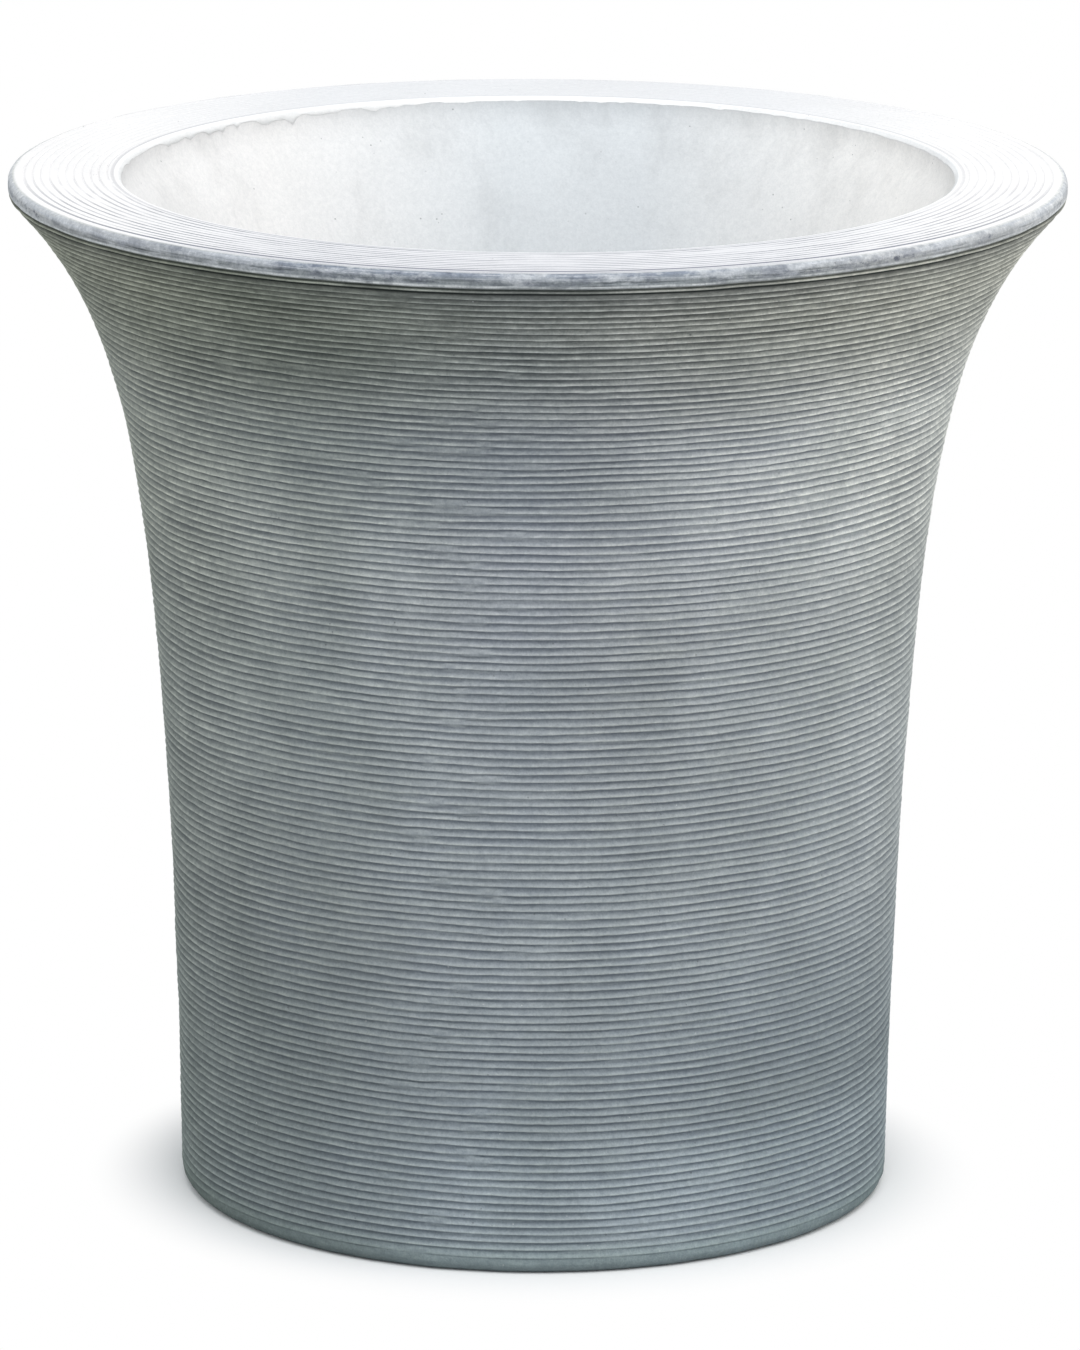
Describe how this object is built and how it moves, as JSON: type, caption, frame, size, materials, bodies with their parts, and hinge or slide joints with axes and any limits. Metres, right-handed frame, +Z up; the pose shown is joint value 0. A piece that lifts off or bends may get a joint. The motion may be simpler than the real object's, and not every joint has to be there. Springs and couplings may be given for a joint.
{
  "type": "planter",
  "caption": "Round cast-concrete floor planter with a flared thick rim, level combed ribs, a drain sleeve, a lift-out drain screen and a steel cage inside the casting",
  "frame": {"origin": "centre of the flat underside, where the planter's axis meets the ground", "axes": "+Z up along the planter's axis, +X to the right and +Y away when seen from the front as in the picture"},
  "size_m": [0.61, 0.61, 0.6],
  "materials": {
    "concrete": "cast concrete, combed outside, grey-green with pale worn crests and a near-white rim and inside",
    "galvanised_steel": "dull zinc-coated bar",
    "chair_plastic": "moulded grey plastic",
    "pipe_plastic": "off-white pipe",
    "screen_plastic": "black moulded plastic, lightly silted"
  },
  "bodies": {
    "planter": {"planter_shell": "concrete", "hoop_1": "galvanised_steel", "hoop_2": "galvanised_steel", "hoop_3": "galvanised_steel", "hoop_4": "galvanised_steel", "hoop_5": "galvanised_steel", "upright_1": "galvanised_steel", "upright_2": "galvanised_steel", "upright_3": "galvanised_steel", "upright_4": "galvanised_steel", "upright_5": "galvanised_steel", "upright_6": "galvanised_steel", "base_bar_1": "galvanised_steel", "base_bar_2": "galvanised_steel", "base_bar_3": "galvanised_steel", "base_bar_4": "galvanised_steel", "bar_chair_1": "chair_plastic", "bar_chair_2": "chair_plastic", "bar_chair_3": "chair_plastic", "bar_chair_4": "chair_plastic", "drain_sleeve": "pipe_plastic"},
    "drain_screen": {"drain_screen": "screen_plastic"}
  },
  "joints": [
    {"name": "drain_screen_lift", "type": "slide", "parent": "planter", "child": "drain_screen", "axis": [0, 0, 1], "range_m": [0, 0.62]}
  ]
}
